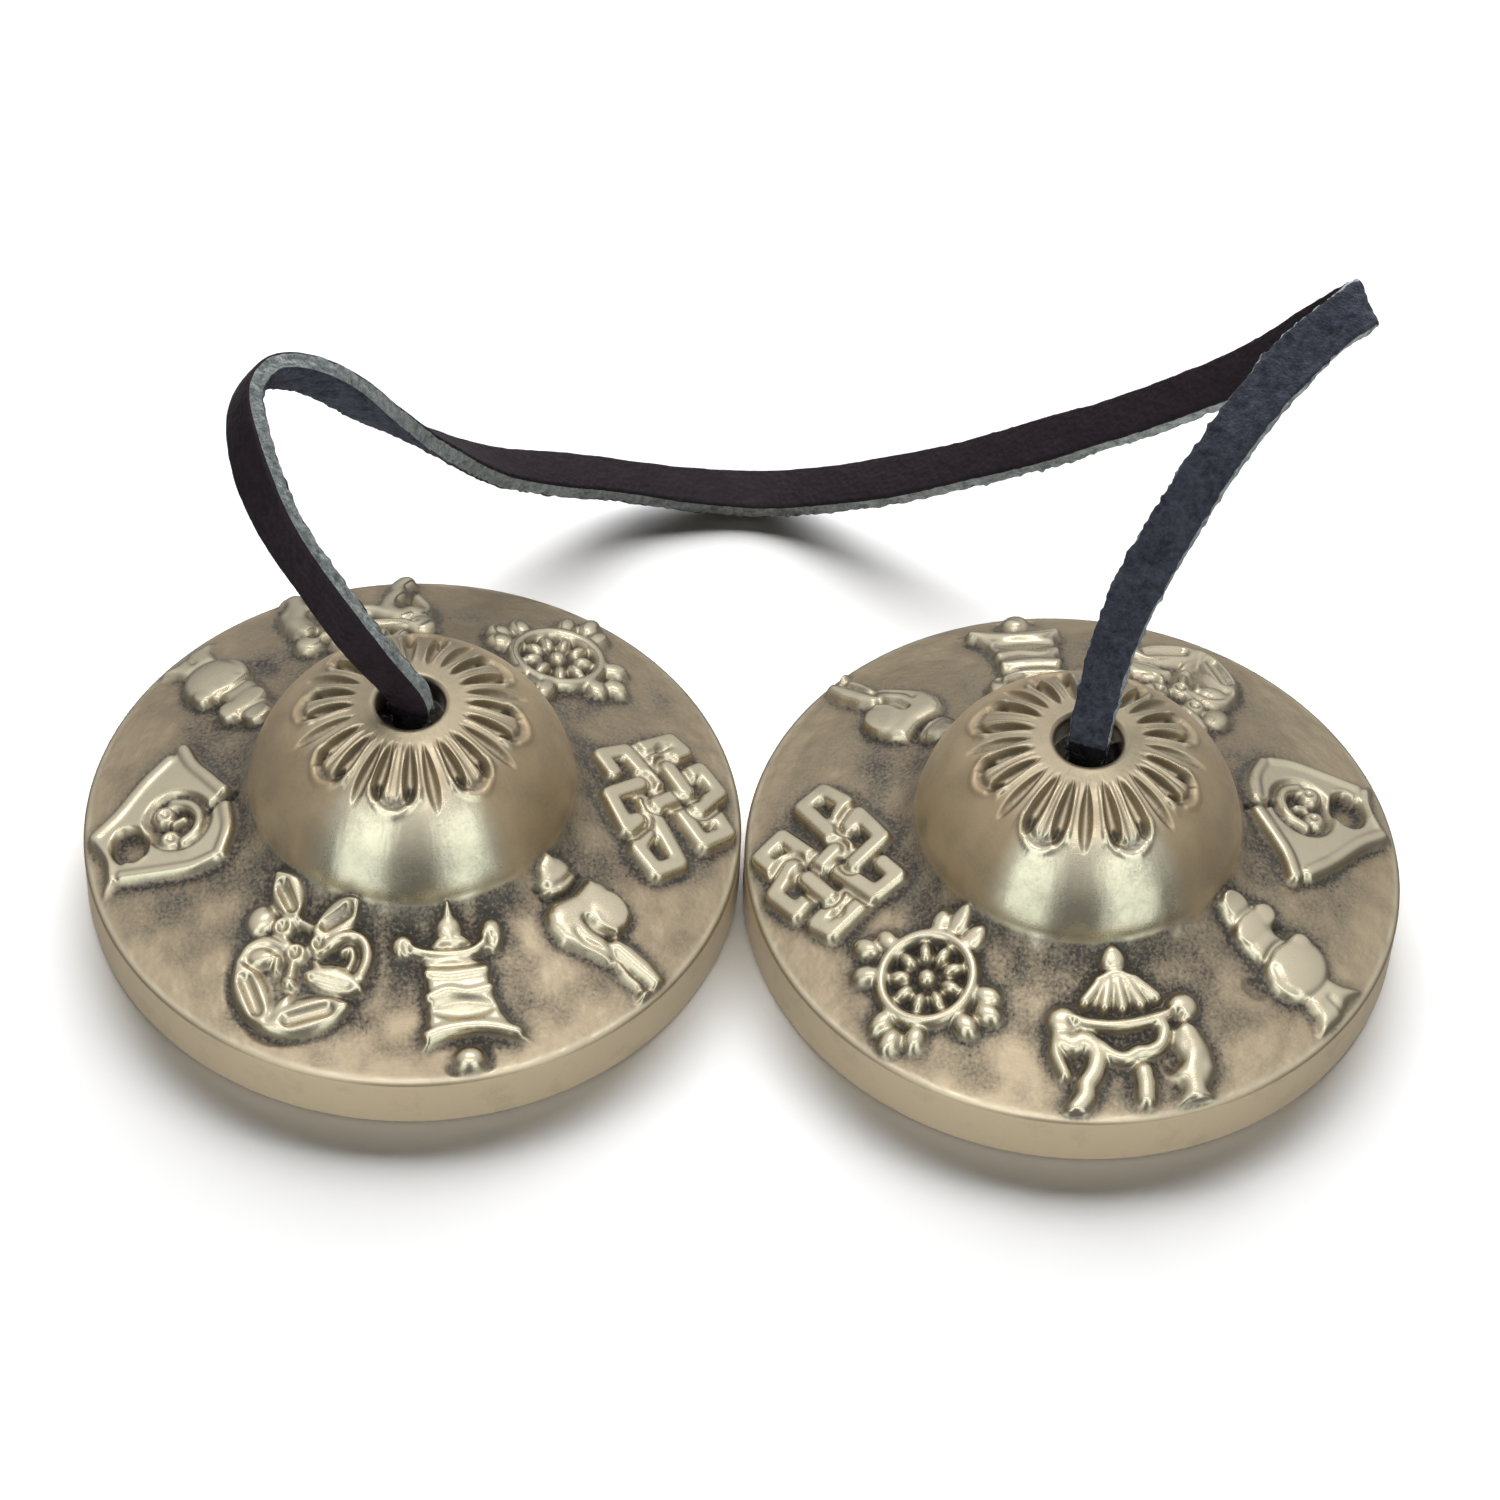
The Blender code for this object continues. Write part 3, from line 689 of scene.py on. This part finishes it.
def cymbal_fields(section, side, seed):
    """Relief height, and the wear, painted shade and painted highlights of the bronze, over
    section points by turn steps.
    """
    rng = np.random.default_rng(seed)
    bearing = np.linspace(0, 2 * pi, TURN_STEPS, endpoint=False)[None, :]
    radius = section[:, :1] + 0 * bearing
    bearing = bearing + 0 * radius
    rim_at = int(np.argmax(section[:, 0] > OUTER_RADIUS - EDGE_ROUND))
    top = np.arange(len(section))[:, None] <= rim_at

    signs = sign_relief(radius, bearing, side, top & (radius > 15.0))
    signs = blurred(np.maximum(signs, -DEEPEST_SINK), 2)
    relief = signs * fall(radius, OUTER_RADIUS - EDGE_ROUND, 0.5) * rise(radius, SIGNS_FROM, 0.9)
    relief = relief * top
    boss = top & (radius > HOLE_RADIUS + 1) & (radius < 14)
    petals = petal_relief(radius, bearing, FIRST_PETAL[side], rng)
    relief = relief + blurred(np.where(boss, petals, 0), 2)

    spread = blurred(np.maximum(relief, 0) * top, 60)
    blotch = smooth_noise(rng, radius.shape, 90)
    wear_and_painted_light = wear_and_painted_light_of(section, bearing, radius, relief, spread, blotch, top)

    cast = 0.02 * smooth_noise(rng, radius.shape, 14) + 0.008 * smooth_noise(rng, radius.shape, 1)
    pits = np.clip(smooth_noise(rng, radius.shape, 3) - 2.3, 0, 1) * np.clip(spread * 2, 0.25, 1)
    plain = on_flange(radius, top) & (relief < 0.5)
    cast = (cast - 0.09 * pits) * np.where(plain, 1.0, 0.12) * (top & (radius > 4.5))
    return relief + cast, wear_and_painted_light


def make_cymbal(side, seed, material):
    """One cast cymbal: the half section turned round, with its relief raised along the surface."""
    section = half_section()
    relief, wear_and_painted_light = cymbal_fields(section, side, seed)
    slope = np.roll(section, -1, axis=0) - np.roll(section, 1, axis=0)
    normal = np.stack([-slope[:, 1], slope[:, 0]], axis=1)
    normal /= np.linalg.norm(normal, axis=1)[:, None]
    flange = ((section[:, 0] > 15) & (section[:, 0] < OUTER_RADIUS - EDGE_ROUND)
              & (section[:, 1] > RIM_HEIGHT - 0.5))
    normal[flange] = sin(FLANGE_SLOPE), cos(FLANGE_SLOPE)
    bearing = np.linspace(0, 2 * pi, TURN_STEPS, endpoint=False)[None, :]
    out = section[:, :1] + relief * normal[:, :1]
    up = section[:, 1:] + relief * normal[:, 1:]
    x, y = CENTRE_X[side] + out * np.cos(bearing), out * np.sin(bearing)
    places = np.stack([x, y, up], axis=2) * MM

    rings = len(section)
    index = np.arange(rings * TURN_STEPS).reshape(rings, TURN_STEPS)
    below, beside = np.roll(index, -1, axis=0), np.roll(index, -1, axis=1)
    diagonal = np.roll(below, -1, axis=1)
    faces = np.stack([index, below, diagonal, beside], axis=2).reshape(-1, 4)
    mesh = bpy.data.meshes.new(side + "_cymbal_bronze")
    mesh.from_pydata(places.reshape(-1, 3).tolist(), [], faces.tolist())

    # The way round and the distance along the section, for lines that run round the cymbal
    along = np.concatenate([[0], np.cumsum(np.linalg.norm(np.diff(section, axis=0), axis=1))])
    along = along[:, None] + 0 * bearing
    turned = np.stack([np.cos(bearing) + 0 * along, np.sin(bearing) + 0 * along, along], axis=2)
    attribute = mesh.attributes.new("turned", "FLOAT_VECTOR", "POINT")
    attribute.data.foreach_set("vector", turned.astype(np.float32).ravel())
    for name, values in wear_and_painted_light.items():
        attribute = mesh.attributes.new(name, "FLOAT", "POINT")
        attribute.data.foreach_set("value", values.astype(np.float32).ravel())
    mesh.materials.append(material)
    mesh.shade_smooth()
    return add_object(mesh)


# ---------------------------------------------------------------- thong and knots

# Which of the thong's three leathers a face has
GRAIN, SUEDE, CUT = 0, 1, 2


def ribbon_section(width, thickness, corner):
    """Outline of the thong's cut end as (sideways, facing) points, counterclockwise."""
    w, t = width / 2 - corner, thickness / 2 - corner
    outline = []
    for quarter, centre in enumerate(((w, t), (-w, t), (-w, -t), (w, -t))):
        start = quarter * pi / 2
        outline.append(arc(centre, (corner, corner), start, (quarter + 1) * pi / 2, 5))
    outline = np.vstack(outline + [outline[0][:1]])
    return evenly(outline, 0.22)[:-1]


def ribbon_frame(places, faces, step):
    """Points a step apart along a route, each with its ways sideways and out of the grain face."""
    line = smooth_line(places, 24)
    looks = smooth_line(faces, 24)
    both = evenly(np.hstack([line, looks * 1e-3]), step)
    line, looks = both[:, :3], both[:, 3:]
    along = np.gradient(line, axis=0)
    along /= np.linalg.norm(along, axis=1)[:, None]
    sideways = np.cross(along, looks)
    sideways /= np.linalg.norm(sideways, axis=1)[:, None]
    return line, sideways, np.cross(sideways, along)


def worn_outline(outline, width, stations, step, rng):
    """The outline at every station along the strip, as distances sideways and facing: pinched
    near both ends, crowned on the grain face, rough on the cut edges and the suede face."""
    a, b = outline[None, :, 0], outline[None, :, 1]
    shape = (stations, len(outline))
    fine, soft = smooth_noise(rng, shape, 1), smooth_noise(rng, shape, 14)
    travelled = np.arange(stations)[:, None] * step
    from_end = np.minimum(travelled, travelled[-1] - travelled)
    pinch = 1 - PINCH * np.exp(-(from_end / PINCH_REACH) ** 2)
    swell = pinch * (1 + 0.03 * smooth_noise(rng, (stations, 3), 400)[:, :1])
    on_cut = fall(np.abs(b), FLAT_TO, 0.15)
    on_suede = rise(-b, 0, FLAT_TO) * (1 - on_cut)
    rough = 0.01 + 0.075 * on_cut + 0.045 * on_suede + 0.09 * np.clip(-b, 0, 1) * on_cut
    push = rough * fine + (0.02 + 0.03 * on_cut) * soft
    crowned = 0.1 * (1 - (2 * a / width) ** 2) * (b > 0)
    size = np.hypot(a / width, b / STRAP_THICKNESS) + 1e-9
    return (a * swell + push * (a / width / size),
            b + push * (b / STRAP_THICKNESS / size) + crowned)


def ribbon(name, places, faces, width, materials, seed, step):
    """A strip of leather along a route. Returns the object and its middle line in metres."""
    line, sideways, facing = ribbon_frame(places, faces, step)
    outline = ribbon_section(width, STRAP_THICKNESS, STRAP_CORNER)
    stations, around = len(line), len(outline)
    a, b = worn_outline(outline, width, stations, step, np.random.default_rng(seed))
    verts = (line[:, None, :] + a[..., None] * sideways[:, None, :]
             + b[..., None] * facing[:, None, :]) * MM

    index = np.arange(stations * around).reshape(stations, around)
    first, second = index[:-1], index[1:]
    quads = np.stack([first, np.roll(first, -1, 1), np.roll(second, -1, 1), second], axis=2)
    all_faces = quads.reshape(-1, 4).tolist() + [index[0].tolist(), index[-1][::-1].tolist()]
    middle = (outline[:, 1] + np.roll(outline[:, 1], -1)) / 2
    kinds = np.where(middle > FLAT_TO, GRAIN, np.where(middle < -FLAT_TO, SUEDE, CUT))
    kinds = np.concatenate([np.tile(kinds, stations - 1), [CUT, CUT]])
    mesh = bpy.data.meshes.new(name)
    mesh.from_pydata(verts.reshape(-1, 3).tolist(), [], all_faces)
    for material in materials:
        mesh.materials.append(material)
    mesh.polygons.foreach_set("material_index", kinds.astype(np.int32))
    mesh.shade_smooth()
    shell = bmesh.new()
    shell.from_mesh(mesh)
    bmesh.ops.recalc_face_normals(shell, faces=shell.faces)
    shell.to_mesh(mesh)
    shell.free()
    return add_object(mesh), line * MM


def make_knot(side, face, materials, seed):
    """The thong's end in the boss: from the hole into an overhand knot, then a short cut tail."""
    t = np.linspace(-2.0, 2.0, 41)
    coil = np.stack([t ** 3 - 3 * t, t ** 4 - 4 * t ** 2 + 1.6, 10 * t - t ** 5], axis=1)
    coil = coil * KNOT_STRETCH
    turn = atan2(face[1], face[0]) - pi / 2
    c, s = cos(turn), sin(turn)
    x, y, z = coil.T
    coil = np.stack([x * c - y * s, x * s + y * c, z], axis=1)
    neck = np.array([[0, 0, PIVOT_Z - KNOT_CENTRE_Z - drop] for drop in (0, 0.8, 1.6)])
    tail = coil[-1] + np.array([(0.3, 0.7, -1.2), (0.6, 1.8, -3.2)])
    out = coil / np.linalg.norm(coil, axis=1)[:, None]
    flat = np.array([[face[0], face[1], 0.0]] * 3)
    places = np.vstack([neck, coil, tail]) + (CENTRE_X[side], 0, KNOT_CENTRE_Z)
    faces = np.vstack([flat, out, out[-1:], out[-1:]])
    knot, _ = ribbon(side + "_knot_leather", places, faces, KNOT_STRAND_WIDTH, materials, seed,
                     0.25)
    return knot


# ---------------------------------------------------------------- materials

def nodes_of(name):
    """A new material, its node tree, its Principled shader and a short way to add a node."""
    material = bpy.data.materials.new(name)
    material.use_nodes = True
    tree = material.node_tree

    def add(kind, **values):
        node = tree.nodes.new(kind)
        for key, value in values.items():
            setattr(node, key, value)
        return node

    return material, tree, tree.nodes["Principled BSDF"], add


def plug(tree, node, **inputs):
    """Sets or links a node's inputs: by name with _ for a space, or by number after an i."""
    for key, value in inputs.items():
        numbered = key[0] == "i" and key[1:].isdigit()
        socket = node.inputs[int(key[1:]) if numbered else key.replace("_", " ")]
        if isinstance(value, bpy.types.NodeSocket):
            tree.links.new(value, socket)
        else:
            socket.default_value = value
    return node


# Colours of the bronze: as cast in two tones, where turning lines catch, where rubbed and under
# painted highlights, on the smooth boss in two browns that are partly oxide and partly painted
# reflection, on the side of the rim, and its dark skin in two greys
CAST_METAL = (0.36, 0.295, 0.205, 1), (0.30, 0.24, 0.165, 1)
LINED_METAL = (0.42, 0.35, 0.24, 1)
POLISH_AND_HIGHLIGHT_METAL = (0.48, 0.435, 0.325, 1)
BOSS_OXIDE_AND_REFLECTION = (0.40, 0.315, 0.20, 1), (0.33, 0.25, 0.15, 1)
RIM_TAN = (0.46, 0.375, 0.25, 1)
SKIN = (0.050, 0.041, 0.038, 1), (0.082, 0.078, 0.064, 1)


def bronze_material(seed):
    """Cast bronze: dark grey-brown skin in the hollows, rubbed bright on the raised parts, with
    painted shade near the signs and round the boss foot, painted highlights on the boss front and
    the flange edge, and a brown on the boss sides that is partly a painted reflection.
    """
    material, tree, shader, add = nodes_of("bronze_%d" % seed)

    def noise(scale, detail, vector, rough=0.55):
        node = add("ShaderNodeTexNoise", noise_dimensions="4D")
        plug(tree, node, Vector=vector, W=float(seed), Scale=scale, Detail=detail, Roughness=rough)
        return node.outputs["Fac"]

    def ramp(fac, low, high, to_low=0.0, to_high=1.0):
        node = add("ShaderNodeMapRange", clamp=True)
        plug(tree, node, Value=fac, From_Min=low, From_Max=high, To_Min=to_low, To_Max=to_high)
        return node.outputs["Result"]

    def maths(operation, first, second):
        node = add("ShaderNodeMath", operation=operation, use_clamp=operation == "ADD")
        return plug(tree, node, i0=first, i1=second).outputs[0]

    def mix(fac, first, second):
        node = add("ShaderNodeMix", data_type="RGBA")
        return plug(tree, node, i0=fac, i6=first, i7=second).outputs[2]

    def field(name):
        return add("ShaderNodeAttribute", attribute_name=name)

    place = add("ShaderNodeTexCoord").outputs["Object"]
    patina_and_shade, polish_and_highlight, dull = (field(name).outputs["Fac"] for name in ("patina_and_shade", "polish_and_highlight", "dull"))
    brushing = add("ShaderNodeVectorMath", operation="MULTIPLY")
    plug(tree, brushing, i0=field("turned").outputs["Vector"], i1=(6.0, 6.0, 9.0))

    specks = noise(2600, 3, place, 0.6)
    blotches = noise(260, 4, place)
    clouds = noise(70, 2, place)
    lines = noise(1.0, 4, brushing.outputs[0], 0.7)

    # The dark share holds patina and also painted shade near the signs and round the boss foot
    broken = maths("ADD", patina_and_shade, ramp(blotches, 0.35, 0.75, -0.18, 0.22))
    dark = maths("MULTIPLY", broken, ramp(specks, 0.3, 0.62, 0.55, 1.25))
    dark_specks = maths("MULTIPLY", ramp(specks, 0.63, 0.71), ramp(patina_and_shade, 0.15, 0.6, 0.0, 0.6))
    dark = maths("ADD", dark, dark_specks)

    bright = mix(ramp(clouds, 0.35, 0.7), *CAST_METAL)
    bright = mix(ramp(lines, 0.4, 0.8, 0.0, 0.5), bright, LINED_METAL)
    # Polished metal, and the painted highlights on the boss front and flange edge, turn paler
    bright = mix(polish_and_highlight, bright, POLISH_AND_HIGHLIGHT_METAL)
    # Matt brown on the boss: partly oxide, partly painted reflection
    bright = mix(ramp(dull, 0.15, 0.5), bright, mix(ramp(clouds, 0.4, 0.62), *BOSS_OXIDE_AND_REFLECTION))
    bright = mix(ramp(dull, 0.7, 0.95), bright, RIM_TAN)
    skin = mix(ramp(blotches, 0.4, 0.65), *SKIN)
    colour = mix(dark, bright, skin)

    roughness = maths("ADD", maths("MULTIPLY", dark, 0.30), ramp(polish_and_highlight, 0.0, 1.0, 0.42, 0.15))
    roughness = maths("ADD", roughness, ramp(specks, 0.3, 0.8, 0.0, 0.10))
    bare = ramp(dark, 0.2, 1.0, 1.0, 0.45)
    metallic = maths("MULTIPLY", bare, ramp(dull, 0.0, 1.0, 1.0, 0.35))

    grains = maths("MULTIPLY", specks, ramp(polish_and_highlight, 0.0, 0.5, 0.5, 0.05))
    bumps = maths("ADD", grains, maths("MULTIPLY", lines, 0.18))
    bump = add("ShaderNodeBump")
    plug(tree, bump, Height=bumps, Strength=0.55, Distance=0.00012)
    plug(tree, shader, Base_Color=colour, Roughness=roughness, Metallic=metallic,
         Normal=bump.outputs[0])
    return material


def leather_material(name, dark, light, roughness, sheen_level, grain, fibre):
    """Leather: a mottled colour with either a fine grain or a fibrous nap."""
    material, tree, shader, add = nodes_of(name)
    place = add("ShaderNodeTexCoord").outputs["Object"]

    coarse = add("ShaderNodeTexNoise")
    plug(tree, coarse, Vector=place, Scale=fibre * 0.4, Detail=5.0, Roughness=0.65)
    fine = add("ShaderNodeTexNoise")
    plug(tree, fine, Vector=place, Scale=fibre, Detail=4.0, Roughness=0.7)
    cells = add("ShaderNodeTexVoronoi")
    plug(tree, cells, Vector=place, Scale=grain)

    blend = add("ShaderNodeMath", operation="ADD")
    plug(tree, blend, i0=coarse.outputs["Fac"], i1=fine.outputs["Fac"])
    spread = add("ShaderNodeMapRange")
    plug(tree, spread, Value=blend.outputs[0], From_Min=0.75, From_Max=1.28)
    colour = add("ShaderNodeMix", data_type="RGBA")
    plug(tree, colour, i0=spread.outputs["Result"], i6=(*dark, 1), i7=(*light, 1))

    worn = add("ShaderNodeMapRange")
    plug(tree, worn, Value=fine.outputs["Fac"], From_Min=0.3, From_Max=0.7,
         To_Min=roughness - 0.08, To_Max=roughness + 0.1)
    height = add("ShaderNodeMath", operation="ADD")
    plug(tree, height, i0=cells.outputs["Distance"], i1=fine.outputs["Fac"])
    bump = add("ShaderNodeBump")
    plug(tree, bump, Height=height.outputs[0], Strength=0.6, Distance=0.0002)
    plug(tree, shader, Base_Color=colour.outputs[2], Roughness=worn.outputs["Result"],
         Normal=bump.outputs[0], Specular_IOR_Level=sheen_level)
    return material


# ---------------------------------------------------------------- camera, floor and light

def add_camera():
    """The viewpoint: above and in front, turned a little about its own axis."""
    elevation, roll = radians(49.0), radians(3.17)
    back = Vector((0, -cos(elevation), sin(elevation)))
    right, up = Vector((1, 0, 0)), Vector((0, sin(elevation), cos(elevation)))
    turned_right = cos(roll) * right + sin(roll) * up
    turned_up = -sin(roll) * right + cos(roll) * up
    data = bpy.data.cameras.new("camera")
    data.sensor_width = 36
    data.lens = 114.26
    camera = bpy.data.objects.new("camera", data)
    bpy.context.scene.collection.objects.link(camera)
    turn = Matrix((turned_right, turned_up, back)).transposed().to_4x4()
    camera.matrix_world = Matrix.Translation(Vector(CAMERA_AIM) + back * CAMERA_DISTANCE) @ turn
    bpy.context.scene.camera = camera


def add_softbox(name, bearing, elevation, distance, size, power, tint, lights_matt):
    """A rectangular lamp that looks at the object from a bearing and elevation in degrees. It
    lights the matt surfaces only, or else it only shows as a reflection."""
    a, e = radians(bearing), radians(elevation)
    direction = Vector((cos(a) * cos(e), sin(a) * cos(e), sin(e)))
    data = bpy.data.lights.new(name, "AREA")
    data.shape = "RECTANGLE"
    data.size, data.size_y = size
    data.energy = power
    data.color = tint
    lamp = bpy.data.objects.new(name, data)
    lamp.location = Vector(LAMP_AIM) + direction * distance
    lamp.rotation_euler = direction.to_track_quat("Z", "Y").to_euler()
    lamp.visible_diffuse = lights_matt
    lamp.visible_glossy = not lights_matt
    bpy.context.scene.collection.objects.link(lamp)


def add_floor():
    """A wide sheet of white paper, which the bronze doesn't mirror."""
    mesh = bpy.data.meshes.new("floor")
    half = 3.0
    corners = [(-half, -half, 0), (half, -half, 0), (half, half, 0), (-half, half, 0)]
    mesh.from_pydata(corners, [], [(0, 1, 2, 3)])
    material, tree, shader, _ = nodes_of("floor_paper")
    plug(tree, shader, Base_Color=(0.93, 0.93, 0.93, 1), Roughness=0.9, Specular_IOR_Level=0.1)
    mesh.materials.append(material)
    floor = add_object(mesh)
    floor.visible_glossy = False


def add_world():
    """Studio surroundings mirrored in the bronze: bright overhead, dim low down and in front."""
    world = bpy.data.worlds.new("studio")
    bpy.context.scene.world = world
    world.use_nodes = True
    world.cycles_visibility.diffuse = False
    tree = world.node_tree
    direction = tree.nodes.new("ShaderNodeTexCoord").outputs["Generated"]
    lean = tree.nodes.new("ShaderNodeVectorMath")
    lean.operation = "DOT_PRODUCT"
    plug(tree, lean, i0=direction, i1=BRIGHT_SIDE)
    level = plug(tree, tree.nodes.new("ShaderNodeMapRange"), Value=lean.outputs["Value"],
                 From_Min=-0.1, From_Max=0.95, To_Min=0.28, To_Max=1.4)
    plug(tree, tree.nodes["Background"], Color=(*WHITE, 1), Strength=level.outputs["Result"])


# ---------------------------------------------------------------- build

def main():
    """Builds it all: view and light first, then the thong with its knots, then the cymbals."""
    bpy.context.scene.view_settings.view_transform = "Standard"
    add_camera()
    add_floor()
    add_world()
    for lamp in LAMPS:
        add_softbox(*lamp)

    leathers = [leather_material(*leather) for leather in LEATHERS]
    places, faces = zip(*STRAP_ROUTE)
    strap, centreline = ribbon("thong", places, faces, STRAP_WIDTH, leathers, 11, 0.3)
    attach(strap, "strap")
    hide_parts("strap")
    for side, face, seed in (("left", faces[0], 21), ("right", faces[-1], 22)):
        knot = make_knot(side, face, leathers, seed)
        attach(knot, side + "_knot")
        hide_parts(side + "_knot")

    for side, seed in (("left", 3), ("right", 8)):
        cymbal = make_cymbal(side, seed, bronze_material(seed))
        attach(cymbal, side + "_cymbal")
        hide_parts(side + "_cymbal")


main()
